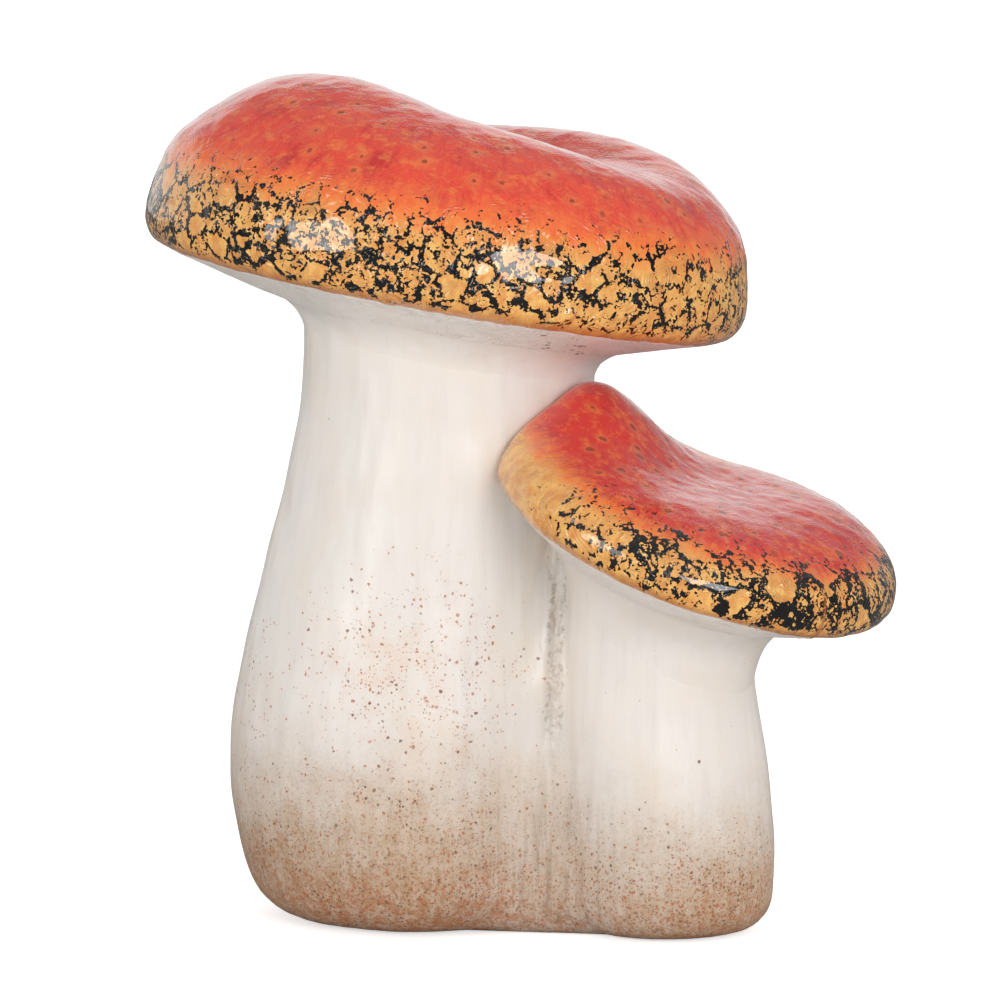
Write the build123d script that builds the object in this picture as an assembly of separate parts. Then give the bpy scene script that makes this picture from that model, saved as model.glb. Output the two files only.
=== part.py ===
"""Ceramic mushroom ornament: a tall and a short mushroom, slip cast in earthenware and joined at the foot.

Each mushroom is two hollow castings. The stem's spigot stands in a socket under the cap, and a fillet of
joining slip closes the corner between them. The short mushroom leans on the tall one: its stem and its cap
are trimmed to the tall stem, and beads of slip fill the creases between the two stems, front and back.

Units are millimetres and degrees. +X is right, +Y is back and +Z is up, seen from the front.
The sizes are set out from the middle of the tall stem's foot. The finished part is then moved so that its
origin is the middle of its own bounding box, on the surface that it stands on.
"""
from build123d import *

import math
import os
from dataclasses import dataclass

# Castings
wall = 4.0
base_thickness = 5.0
shoulder_width = 5.0
spigot_height = 9.0
socket_clearance = 0.3
foot_ring_width = 6.0
foot_recess_depth = 1.5

# Tall stem: circles from the foot up to the neck
large_foot_radius = 37.0
large_foot_edge_radius = 13.0
large_bulge_height = 34.0
large_bulge_radius = 40.5
large_bulge_shift_x = -5.75
large_waist_height = 88.0
large_waist_radius = 36.3
large_waist_shift_x = 0.1
large_neck_height = 135.5
large_neck_radius = 33.8
large_neck_shift_x = 4.5
large_vent_radius = 4.0
large_parting_angle = 180.0

# Tall mushroom's cap, measured from the middle of the neck
large_cap_tilt_right = 9.8
large_cap_tilt_front = 1.0
large_cap_reach_left = 73.2
large_cap_reach_right = 66.4
large_cap_reach_front = 58.0
large_cap_reach_back = 58.0
large_cap_underside_rise = 8.7
large_cap_rim_drop = 7.5
large_cap_rim_inset = 5.5
large_cap_rise = 34.3
large_cap_left_hump_height = 7.6
large_cap_left_hump_x = -47.7
large_cap_left_hump_y = 1.1
large_cap_left_hump_spread = 32.2
large_cap_back_hump_height = 6.6
large_cap_back_hump_x = 40.8
large_cap_back_hump_y = 21.4
large_cap_back_hump_spread = 38.5
large_cap_valley_depth = 12.8
large_cap_valley_x = 11.2
large_cap_valley_y = 7.3
large_cap_valley_length = 36.0
large_cap_valley_width = 20.0
large_cap_valley_turn = -26.5

# Short stem: circles from the foot up to the neck
small_foot_x = 53.25
small_foot_y = -19.0
small_foot_radius = 24.0
small_foot_edge_radius = 9.0
small_bulge_height = 22.0
small_bulge_radius = 25.5
small_bulge_shift_x = 0.2
small_waist_height = 52.0
small_waist_radius = 23.4
small_waist_shift_x = -1.8
small_neck_below_large = 57.0
small_neck_height = large_neck_height - small_neck_below_large
small_neck_radius = 23.0
small_neck_shift_x = 1.1
small_neck_shift_y = -1.4
small_vent_radius = 3.0
small_parting_angle = 0.0

# Short mushroom's cap, measured from the middle of the neck
small_cap_tilt_right = 20.1
small_cap_tilt_front = 13.5
small_cap_reach_left = 47.5
small_cap_reach_right = 48.6
small_cap_reach_front = 50.0
small_cap_reach_back = 36.0
small_cap_underside_rise = 13.0
small_cap_rim_drop = 4.5
small_cap_rim_inset = 3.0
small_cap_rise = 15.2
small_cap_left_hump_height = 16.5
small_cap_left_hump_x = -33.9
small_cap_left_hump_y = 16.2
small_cap_left_hump_spread = 23.4
small_cap_valley_depth = 10.0
small_cap_valley_x = -9.2
small_cap_valley_y = 15.5
small_cap_valley_length = 27.5
small_cap_valley_width = 40.2
small_cap_valley_turn = 0.0

# Joining slip
large_lute_height = 5.0
large_lute_width = 5.0
large_lute_sag = 1.4
small_lute_height = 12.0
small_lute_width = 7.5
small_lute_sag = 2.4
lute_bite = 1.5
seam_foot_radius = 7.0
seam_top_radius = 2.0
seam_top_below_neck = 4.5
seam_top_height = small_neck_height - seam_top_below_neck
seam_sections = 5

# How closely the caps' rings follow the form
ring_points = 20
rim_angles = (75, 50, 25)
dome_angles = (0, 15, 30, 45, 60, 75, 84)
dome_squareness = 2.4


@dataclass
class Stem:
    """One stem's form: circles from the foot up to a neck that leans with its cap."""

    foot: Vector
    foot_radius: float
    foot_edge_radius: float
    bulge: Vector
    bulge_radius: float
    waist: Vector
    waist_radius: float
    neck: Plane
    neck_radius: float
    vent_radius: float
    parting_angle: float

    def circle(self, radius, plane):
        """One circle of the stem, which starts on the mould's parting line."""
        turned = Plane(plane.location * Rotation(0, 0, self.parting_angle))
        return Wire.make_circle(radius, turned)

    def loft(self, inset, floor):
        """Smooth body from the floor height up to the neck, drawn in by the inset."""
        foot = self.circle(self.foot_radius - inset, Plane(self.foot + Vector(0, 0, floor)))
        bulge = self.circle(self.bulge_radius - inset, Plane(self.bulge))
        waist = self.circle(self.waist_radius - inset, Plane(self.waist))
        neck = self.circle(self.neck_radius - inset, self.neck.offset(-inset))
        return Solid.make_loft([foot, bulge, waist, neck])

    def outside(self):
        body = self.loft(0, 0)
        foot_edge = body.edges().sort_by(Axis.Z)[0]
        return body.fillet(self.foot_edge_radius, [foot_edge])

    def spigot_radius(self):
        return self.neck_radius - shoulder_width

    def spigot(self):
        """Tenon on the neck, which stands in the cap's socket."""
        return Solid.make_cylinder(self.spigot_radius(), spigot_height, self.neck)

    def cavity(self):
        return self.loft(wall, base_thickness)

    def bore(self):
        """Way out of the cavity, up through the spigot."""
        start = self.neck.offset(-2 * wall)
        return Solid.make_cylinder(self.spigot_radius() - wall, spigot_height + 2 * wall, start)

    def foot_recess(self):
        """Shallow hollow under the base, so that the stem stands on a ring."""
        radius = self.foot_radius - self.foot_edge_radius - foot_ring_width
        return Solid.make_cylinder(radius, foot_recess_depth, Plane(self.foot))

    def vent(self):
        """Hole through the base, which lets hot air out of the cavity in the kiln."""
        return Solid.make_cylinder(self.vent_radius, base_thickness + wall, Plane(self.foot))


@dataclass
class Cap:
    """One cap's form: rings from the underside's rim up to the crown, in the leaning frame of the neck."""

    neck: Plane
    neck_radius: float
    reach_left: float
    reach_right: float
    reach_front: float
    reach_back: float
    underside_rise: float
    rim_drop: float
    rim_inset: float
    rise: float
    humps: list
    valley_depth: float
    valley_x: float
    valley_y: float
    valley_length: float
    valley_width: float
    valley_turn: float
    lute_height: float
    lute_width: float
    lute_sag: float

    def reach(self, angle):
        """Distance from the axis to the rim: a quarter of an ellipse in each direction."""
        across = self.reach_right if math.cos(angle) > 0 else self.reach_left
        deep = self.reach_back if math.sin(angle) > 0 else self.reach_front
        return 1 / math.hypot(math.cos(angle) / across, math.sin(angle) / deep)

    def crown_shape(self, x, y):
        """Height that the humps add and the valley takes away over one point of the crown."""
        raised = 0
        for height, middle_x, middle_y, spread in self.humps:
            raised += height * math.exp(-(((x - middle_x) / spread) ** 2) - ((y - middle_y) / spread) ** 2)
        turn = math.radians(self.valley_turn)
        from_x = x - self.valley_x
        from_y = y - self.valley_y
        along = (from_x * math.cos(turn) + from_y * math.sin(turn)) / self.valley_length
        across = (from_y * math.cos(turn) - from_x * math.sin(turn)) / self.valley_width
        return raised - self.valley_depth * math.exp(-along**2 - across**2)

    def ring(self, place):
        """A closed curve round the cap. The place of each angle is its distance out and its height."""
        points = []
        for step in range(ring_points):
            angle = 2 * math.pi * step / ring_points
            radius, height = place(angle)
            point = Vector(radius * math.cos(angle), radius * math.sin(angle), height)
            points.append(self.neck.from_local_coords(point))
        return Wire([Edge.make_spline(points, periodic=True)])

    def rim_ring(self, below, inset):
        """A ring of the rolled rim, as an angle below its widest line."""
        tuck = inset + self.rim_inset * (1 - math.cos(below))
        height = self.underside_rise + self.rim_drop - (self.rim_drop - inset) * math.sin(below)
        return self.ring(lambda angle: (self.reach(angle) - tuck, height))

    def dome_ring(self, above, inset):
        """A ring of the dome, from the widest line at 0 degrees towards the crown at 90."""
        exponent = 2 / dome_squareness

        def place(angle):
            radius = (self.reach(angle) - inset) * math.cos(above) ** exponent
            shape = self.crown_shape(radius * math.cos(angle), radius * math.sin(angle))
            dome = (self.rise - inset) * math.sin(above) ** exponent + shape * math.sin(above)
            return radius, self.underside_rise + self.rim_drop + dome

        return self.ring(place)

    def solid(self, inset=0.0):
        """The cap's outside, or, drawn in by the wall, the cavity inside it."""
        rings = [self.rim_ring(math.radians(below), inset) for below in rim_angles]
        rings += [self.dome_ring(math.radians(above), inset) for above in dome_angles]
        crown = self.underside_rise + self.rim_drop + self.rise - inset + self.crown_shape(0, 0)
        crown_point = Vertex(*self.neck.from_local_coords(Vector(0, 0, crown)))
        dome = Solid.make_loft(rings + [crown_point])
        neck_ring = Wire.make_circle(self.neck_radius, self.neck.offset(inset))
        underside = Solid.make_loft([neck_ring, rings[0]], ruled=True)
        return dome.fuse(underside)

    def socket(self, stem):
        """Hole in the underside that takes the stem's spigot."""
        radius = stem.spigot_radius() + socket_clearance
        return Solid.make_cylinder(radius, wall + spigot_height, self.neck)

    def lute(self):
        """Fillet of joining slip in the corner under the cap, before it is trimmed to the castings."""
        inner = self.neck_radius - lute_bite
        slope = self.underside_rise / (self.reach(0) - self.rim_inset - self.neck_radius)
        outer = (self.neck_radius + self.lute_width, self.lute_width * slope)
        bottom = (self.neck_radius, -self.lute_height)
        top = self.lute_width
        with BuildSketch(Plane.XZ) as section:
            with BuildLine():
                Polyline(bottom, (inner, -self.lute_height), (inner, top), (outer[0], top), outer)
                SagittaArc(outer, bottom, -self.lute_sag)
            make_face()
        ring = revolve(section.sketch, Axis.Z).solid()
        return self.neck.location * ring


def neck_plane(middle, tilt_right, tilt_front):
    """Plane of a neck that leans to the right and to the front."""
    lean_right = math.tan(math.radians(tilt_right))
    lean_front = math.tan(math.radians(tilt_front))
    return Plane(middle, x_dir=Vector(1, 0, -lean_right), z_dir=Vector(lean_right, -lean_front, 1))


def cut(body, *tools):
    """The body that is left when the tools are taken away, without loose scraps."""
    return body.cut(*tools).solids().sort_by(SortBy.VOLUME)[-1]


def girth(solid, height):
    """Middle and radius of a round solid at one height."""
    section = solid & Plane.XY.offset(height)
    face = section.faces()[0]
    return face.center(CenterOf.MASS), math.sqrt(face.area / math.pi)


def crease(height, side):
    """Point where the two stems' surfaces meet at one height, on the front (-1) or the back (1)."""
    large_middle, large_radius = girth(large_body, height)
    small_middle, small_radius = girth(small_body, height)
    between = small_middle - large_middle
    along = (large_radius**2 - small_radius**2 + between.length**2) / (2 * between.length)
    out = math.sqrt(max(large_radius**2 - along**2, 0))
    direction = between.normalized()
    return large_middle + direction * along + Vector(-direction.Y, direction.X, 0) * out * side


def seam_bead(side):
    """Bead of slip down one crease, thick at the foot and thin at the top, before it is trimmed."""
    rings = []
    for step in range(seam_sections):
        share = step / (seam_sections - 1)
        radius = seam_foot_radius + (seam_top_radius - seam_foot_radius) * share
        rings.append(Wire.make_circle(radius, Plane(crease(seam_top_height * share, side))))
    return Solid.make_loft(rings)


large_foot = Vector(0, 0, 0)
large_neck = neck_plane(
    large_foot + Vector(large_neck_shift_x, 0, large_neck_height), large_cap_tilt_right, large_cap_tilt_front
)
large_stem_form = Stem(
    foot=large_foot,
    foot_radius=large_foot_radius,
    foot_edge_radius=large_foot_edge_radius,
    bulge=large_foot + Vector(large_bulge_shift_x, 0, large_bulge_height),
    bulge_radius=large_bulge_radius,
    waist=large_foot + Vector(large_waist_shift_x, 0, large_waist_height),
    waist_radius=large_waist_radius,
    neck=large_neck,
    neck_radius=large_neck_radius,
    vent_radius=large_vent_radius,
    parting_angle=large_parting_angle,
)
large_cap_form = Cap(
    neck=large_neck,
    neck_radius=large_neck_radius,
    reach_left=large_cap_reach_left,
    reach_right=large_cap_reach_right,
    reach_front=large_cap_reach_front,
    reach_back=large_cap_reach_back,
    underside_rise=large_cap_underside_rise,
    rim_drop=large_cap_rim_drop,
    rim_inset=large_cap_rim_inset,
    rise=large_cap_rise,
    humps=[
        (
            large_cap_left_hump_height,
            large_cap_left_hump_x,
            large_cap_left_hump_y,
            large_cap_left_hump_spread,
        ),
        (
            large_cap_back_hump_height,
            large_cap_back_hump_x,
            large_cap_back_hump_y,
            large_cap_back_hump_spread,
        ),
    ],
    valley_depth=large_cap_valley_depth,
    valley_x=large_cap_valley_x,
    valley_y=large_cap_valley_y,
    valley_length=large_cap_valley_length,
    valley_width=large_cap_valley_width,
    valley_turn=large_cap_valley_turn,
    lute_height=large_lute_height,
    lute_width=large_lute_width,
    lute_sag=large_lute_sag,
)

small_foot = Vector(small_foot_x, small_foot_y, 0)
small_neck = neck_plane(
    small_foot + Vector(small_neck_shift_x, small_neck_shift_y, small_neck_height),
    small_cap_tilt_right,
    small_cap_tilt_front,
)
small_stem_form = Stem(
    foot=small_foot,
    foot_radius=small_foot_radius,
    foot_edge_radius=small_foot_edge_radius,
    bulge=small_foot + Vector(small_bulge_shift_x, 0, small_bulge_height),
    bulge_radius=small_bulge_radius,
    waist=small_foot + Vector(small_waist_shift_x, 0, small_waist_height),
    waist_radius=small_waist_radius,
    neck=small_neck,
    neck_radius=small_neck_radius,
    vent_radius=small_vent_radius,
    parting_angle=small_parting_angle,
)
small_cap_form = Cap(
    neck=small_neck,
    neck_radius=small_neck_radius,
    reach_left=small_cap_reach_left,
    reach_right=small_cap_reach_right,
    reach_front=small_cap_reach_front,
    reach_back=small_cap_reach_back,
    underside_rise=small_cap_underside_rise,
    rim_drop=small_cap_rim_drop,
    rim_inset=small_cap_rim_inset,
    rise=small_cap_rise,
    humps=[
        (
            small_cap_left_hump_height,
            small_cap_left_hump_x,
            small_cap_left_hump_y,
            small_cap_left_hump_spread,
        ),
    ],
    valley_depth=small_cap_valley_depth,
    valley_x=small_cap_valley_x,
    valley_y=small_cap_valley_y,
    valley_length=small_cap_valley_length,
    valley_width=small_cap_valley_width,
    valley_turn=small_cap_valley_turn,
    lute_height=small_lute_height,
    lute_width=small_lute_width,
    lute_sag=small_lute_sag,
)

# Tall mushroom
large_stem_outside = large_stem_form.outside()
large_cap_outside = large_cap_form.solid()
large_stem = cut(
    large_stem_outside.fuse(large_stem_form.spigot()),
    large_stem_form.cavity(),
    large_stem_form.bore(),
    large_stem_form.foot_recess(),
    large_stem_form.vent(),
)
large_cap = cut(large_cap_outside, large_cap_form.solid(wall), large_cap_form.socket(large_stem_form))

# Short mushroom, trimmed to the tall one, with a full wall left along the cut
tall_stem_and_wall = large_stem_form.loft(-wall, 0)
small_stem_outside = cut(small_stem_form.outside(), large_stem_outside)
small_cap_outside = cut(small_cap_form.solid(), large_stem_outside)
small_stem = cut(
    small_stem_outside.fuse(small_stem_form.spigot()),
    cut(small_stem_form.cavity(), tall_stem_and_wall),
    small_stem_form.bore(),
    small_stem_form.foot_recess(),
    small_stem_form.vent(),
)
small_cap = cut(
    small_cap_outside,
    cut(small_cap_form.solid(wall), tall_stem_and_wall),
    small_cap_form.socket(small_stem_form),
)

# Fillets of slip under the caps
large_neck_lute = cut(large_cap_form.lute(), large_cap_outside, large_stem_outside, small_cap_outside)
small_neck_lute = cut(small_cap_form.lute(), small_cap_outside, small_stem_outside, large_stem_outside)

# Beads of slip in the creases between the stems
large_body = large_stem_form.loft(0, 0)
small_body = small_stem_form.loft(0, 0)
seam_tools = [large_stem_outside, small_stem_outside, small_cap_outside, small_neck_lute]
stem_seam = Compound([cut(seam_bead(side), *seam_tools) for side in (-1, 1)])

pieces = {
    "large_stem": large_stem,
    "large_cap": large_cap,
    "large_neck_lute": large_neck_lute,
    "small_stem": small_stem,
    "small_cap": small_cap,
    "small_neck_lute": small_neck_lute,
    "stem_seam": stem_seam,
}
box = Compound(list(pieces.values())).bounding_box()
to_origin = Location(Vector(-box.center().X, -box.center().Y, -box.min.Z))

os.makedirs("parts", exist_ok=True)
for node, piece in pieces.items():
    export_step(to_origin * piece, f"parts/{node}.step")
print("Foot of the tall stem", to_origin.position, "size", box.size)
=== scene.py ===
import math

import bpy
import numpy as np
from bpy.props import FloatProperty, FloatVectorProperty, PointerProperty
from mathutils import Matrix, Quaternion, Vector, noise
from mathutils.bvhtree import BVHTree


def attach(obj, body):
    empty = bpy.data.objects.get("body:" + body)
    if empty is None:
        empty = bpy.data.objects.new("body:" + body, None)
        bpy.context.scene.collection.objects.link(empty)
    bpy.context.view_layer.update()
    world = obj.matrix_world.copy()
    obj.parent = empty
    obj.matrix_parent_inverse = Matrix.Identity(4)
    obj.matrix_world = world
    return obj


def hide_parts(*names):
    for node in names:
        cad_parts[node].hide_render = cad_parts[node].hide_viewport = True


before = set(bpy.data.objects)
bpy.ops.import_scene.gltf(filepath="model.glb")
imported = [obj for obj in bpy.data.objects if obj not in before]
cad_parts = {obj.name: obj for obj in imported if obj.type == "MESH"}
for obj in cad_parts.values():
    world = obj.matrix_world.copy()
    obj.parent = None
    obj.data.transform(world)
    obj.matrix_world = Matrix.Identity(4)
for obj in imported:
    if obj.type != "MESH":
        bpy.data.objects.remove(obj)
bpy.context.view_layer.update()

bl_info = {
    "name": "Ceramic Mushroom Ornament",
    "version": (1, 0, 0),
    "blender": (4, 5, 0),
    "location": "3D View > Sidebar > Mushrooms",
    "description": "Dresses a glazed pair of mushrooms: caps, stems, joining slip and a small stage",
    "category": "Object",
}

MM = 0.001
UP = Vector((0, 0, 1))
SIZES = ("large", "small")


def pair(large, small):
    """A value for the tall mushroom and one for the short one."""
    return {"large": large, "small": small}


# Where each mushroom stands and how its neck leans, in millimetres and degrees of the shared frame
FOOT = pair(Vector((-20.73, 7.77, 0.0)), Vector((32.52, -11.23, 0.0)))
NECK = pair(Vector((-16.23, 7.77, 135.5)), Vector((33.62, -12.63, 78.5)))
LEAN_RIGHT = pair(9.8, 20.1)
LEAN_FRONT = pair(1.0, 13.5)
NECK_RADIUS = pair(33.8, 23.0)
# How far a cap's rim reaches from the neck's middle: left, right, front and back
REACH = pair((73.2, 66.4, 58.0, 58.0), (47.5, 48.6, 50.0, 36.0))
# How far the right end of a rim hangs down, and from which share of its reach
DROOP = pair(0.9, 1.5)
DROOP_START = 0.35
# Heights over the neck: of the underside's rim and of the cap's widest line
RIM_BOTTOM = pair(8.7, 13.0)
WIDEST = pair(16.2, 17.5)
# The base: outer edge of the ring that it stands on, the hollow inside the ring, and the kiln vent
RING_RADIUS = pair(24.0, 15.0)
HOLLOW_RADIUS = pair(18.0, 9.0)
VENT_RADIUS = pair(4.0, 3.0)
HOLLOW_DEPTH = 1.5
VENT_DEPTH = 4.5
# Direction of the mould line from the short cap's axis
MOULD_LINE = math.radians(-49.8)
# Rays start this far out, clear of every solid
FAR = 160.0
# Distance to a crease that leaves no mark
NO_CREASE = 20.0


def neck_matrix(size):
    """Leaning frame of a neck: its origin is the middle of the neck and its Z is the cap's axis."""
    right = math.tan(math.radians(LEAN_RIGHT[size]))
    front = math.tan(math.radians(LEAN_FRONT[size]))
    up = Vector((right, -front, 1)).normalized()
    across = Vector((1, 0, -right))
    across = (across - up * across.dot(up)).normalized()
    back = up.cross(across)
    matrix = Matrix((across, back, up)).transposed().to_4x4()
    matrix.translation = NECK[size]
    return matrix


# User settings


def unevenness(name, description, default):
    return FloatProperty(name=name, description=description, default=default, min=0)


def paint(name, description, default):
    return FloatVectorProperty(
        name=name, description=description, subtype="COLOR", default=default, min=0, max=1
    )


class MushroomShape(bpy.types.PropertyGroup):
    """Sizes of the hand-made unevenness, in millimetres"""

    cap_swell: unevenness("Cap swell", "Broad unevenness of the caps", 0.35)
    cap_dimple: unevenness("Cap dimples", "Small unevenness of the glaze", 0.15)
    stem_swell: unevenness("Stem swell", "Broad unevenness of the stems", 0.5)
    stem_stroke: unevenness("Stem strokes", "Height of the upright strokes", 0.16)
    seam_lump: unevenness("Seam lumps", "Height of the lumps in the slip", 1.0)


class MushroomGlaze(bpy.types.PropertyGroup):
    """Colours of the glazes and stains"""

    red: paint("Red", "Crown of the tall cap", (0.79, 0.064, 0.032))
    crimson: paint("Crimson", "Crown of the short cap", (0.66, 0.034, 0.026))
    deep_red: paint("Deep red", "Dark streaks of the crown", (0.54, 0.020, 0.020))
    flame: paint("Flame", "Orange mottling of the crown", (0.85, 0.205, 0.045))
    orange: paint("Orange", "Glaze round the rim", (0.71, 0.29, 0.075))
    yellow: paint("Yellow", "Pale streaks round the rim", (0.86, 0.50, 0.15))
    rim_brown: paint("Rim brown", "Lowest strip of the rim", (0.45, 0.15, 0.042))
    black: paint("Black", "Sponged blotches", (0.006, 0.005, 0.005))
    white: paint("White", "Stems and undersides", (0.80, 0.745, 0.695))
    brown: paint("Brown", "Sponged stain at the foot", (0.42, 0.235, 0.095))
    rust: paint("Rust", "Spatter on the stems", (0.45, 0.125, 0.036))
    # Olive also paints the shade in the creases between the stems
    olive: paint("Olive", "Dark stain in the creases", (0.22, 0.16, 0.10))


class MushroomStage(bpy.types.PropertyGroup):
    """Camera, lamps and floor"""

    elevation: FloatProperty(
        name="Elevation", description="Angle of the camera over the floor", subtype="ANGLE",
        default=math.radians(7),
    )
    distance: FloatProperty(
        name="Distance", description="Camera to object", subtype="DISTANCE", unit="LENGTH",
        default=1.5, min=0.3,
    )
    aim: FloatVectorProperty(
        name="Aim", description="Point in the middle of the picture", subtype="TRANSLATION", unit="LENGTH",
        default=(-0.00463, 0.00777, 0.0960),
    )
    lens: FloatProperty(name="Lens", description="Focal length in millimetres", default=234.8, min=20)
    key_power: FloatProperty(
        name="Key power", description="Soft boxes in front", subtype="POWER", default=3.0
    )
    fill: FloatProperty(name="Fill", description="Level of the light all round", default=0.57, min=0)


# Meshes


def clamp(value, low=0.0, high=1.0):
    return min(max(value, low), high)


def bell(distance):
    return math.exp(-distance * distance)


def compass(angle):
    """Level direction at an angle from the right."""
    return Vector((math.cos(angle), math.sin(angle), 0))


def directions(columns):
    return [compass(2 * math.pi * column / columns) for column in range(columns)]


def ring_pairs(columns):
    """Each column of a ring with the one beside it."""
    return [(column, (column + 1) % columns) for column in range(columns)]


def search_tree(mesh):
    """Search tree of a mesh, in millimetres."""
    points = [v.co / MM for v in mesh.vertices]
    return BVHTree.FromPolygons(points, [tuple(p.vertices) for p in mesh.polygons])


def solid_tree(node):
    return search_tree(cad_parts[node].data)


def dressed_tree(node):
    return search_tree(bpy.data.objects[f"{node}_ware"].data)


def cast(tree, target, outward):
    """Outermost point of a solid on the line from the target outward."""
    hit = tree.ray_cast(target + outward * FAR, -outward, FAR * 2)[0]
    return target if hit is None else hit


def grid_normals(points):
    """Unit normals of a grid that closes on itself, from the differences along its rows and columns."""
    down = np.gradient(points, axis=0)
    along = (np.roll(points, -1, 1) - np.roll(points, 1, 1)) / 2
    normal = np.cross(along, down)
    return normal / np.maximum(np.linalg.norm(normal, axis=-1, keepdims=True), 1e-9)


def soften(points, rounds):
    """Evens out the facets of the solid. The first and last rows stay where they are."""
    for _ in range(rounds):
        beside = (np.roll(points, 1, 1) + np.roll(points, -1, 1)) / 2
        above_below = (points[:-2] + points[2:]) / 2
        points[1:-1] += 0.5 * ((beside[1:-1] + above_below) / 2 - points[1:-1])
    return points


def grid_faces(rows, columns):
    faces = []
    for row in range(rows - 1):
        for column, beside in ring_pairs(columns):
            a = row * columns + column
            b = row * columns + beside
            faces.append((a, a + columns, b + columns, b))
    return faces


def wavy(point, size, seed):
    """Smooth noise between -1 and 1 with features of the given size."""
    return noise.noise(point / size + Vector((seed, seed * 1.7, -seed)))


def piece(node, vertices, faces, material, fields):
    """One dressed piece, which takes the place of its solid."""
    mesh = bpy.data.meshes.new(f"{node}_ware")
    mesh.from_pydata([Vector(v) * MM for v in vertices], [], faces)
    mesh.validate()
    mesh.polygons.foreach_set("use_smooth", [True] * len(mesh.polygons))
    for field, values in fields.items():
        layer = mesh.attributes.new(field, "FLOAT", "POINT")
        layer.data.foreach_set("value", np.asarray(values, dtype=np.float32))
    mesh.materials.append(material)
    mesh.update()
    thing = bpy.data.objects.new(f"{node}_ware", mesh)
    bpy.context.scene.collection.objects.link(thing)
    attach(thing, "root")
    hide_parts(node)
    return thing


# Caps


CAP_COLUMNS = pair(420, 320)
CAP_DOME_ROWS = pair(104, 72)
CAP_RIM_ROWS = 16
CAP_UNDER_ROWS = pair(30, 24)
RIM_WIDTH = pair(7.0, 5.0)
UNDER_LIMIT = pair(30.5, 19.5)
# Rounds in which a cap's facets are evened out
CAP_ROUNDS = 10
# A millimetre inwards from the rim counts as this much climb
CLIMB_INWARDS = 0.45
# Middle of the flake on the tall cap's rim
FLAKE = Vector((24.3, -54.0, 13.0))
# Rows round the middle of a dome that are evened out: the even surface is fitted to the outer ones, from
# TOP_FIT on, and fades out over TOP_FADE rows that end at TOP_EDGE
TOP_ROWS = 24
TOP_FIT = 15
TOP_EDGE = 21
TOP_FADE = 7


def cap_skin(size):
    """Outside of a cap as a grid: rows of the dome, the rolled rim and the underside."""
    tree = solid_tree(f"{size}_cap")
    matrix = neck_matrix(size)
    turn = matrix.to_3x3()
    middle = matrix @ (UP * WIDEST[size])
    around = directions(CAP_COLUMNS[size])
    rows = []
    for step in range(1, CAP_DOME_ROWS[size] + 1):
        polar = math.pi / 2 * step / CAP_DOME_ROWS[size]
        rows.append([
            cast(tree, middle, turn @ (e * math.sin(polar) + UP * math.cos(polar))) for e in around
        ])
    inner = [max((p - middle).length - RIM_WIDTH[size], UNDER_LIMIT[size]) for p in rows[-1]]
    for step in range(1, CAP_RIM_ROWS + 1):
        below = math.pi / 2 * step / CAP_RIM_ROWS
        rows.append([
            cast(tree, middle + turn @ (e * r), turn @ (e * math.cos(below) - UP * math.sin(below)))
            for e, r in zip(around, inner)
        ])
    for step in range(1, CAP_UNDER_ROWS[size] + 1):
        share = step / CAP_UNDER_ROWS[size]
        rows.append([
            cast(tree, middle + turn @ (e * (r + (UNDER_LIMIT[size] - r) * share)), turn @ -UP)
            for e, r in zip(around, inner)
        ])
    return np.array(rows), matrix


def smooth_top(points, matrix):
    """Lays an even surface over the middle of a dome, where the solid's rings close in a small flat."""
    turn = np.array(matrix.to_3x3())
    neck = np.array(matrix.translation)
    local = (points[:TOP_ROWS] - neck) @ turn

    def terms(p):
        x, y = p[..., 0], p[..., 1]
        return np.stack([np.ones_like(x), x, y, x * x, x * y, y * y], -1)

    ring = local[TOP_FIT:].reshape(-1, 3)
    weights = np.linalg.lstsq(terms(ring), ring[:, 2], rcond=None)[0]
    share = np.clip((TOP_EDGE - np.arange(TOP_ROWS)) / TOP_FADE, 0, 1)[:, None]
    local[..., 2] += share * (terms(local) @ weights - local[..., 2])
    points[:TOP_ROWS] = local @ turn.T + neck
    return points


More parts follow.
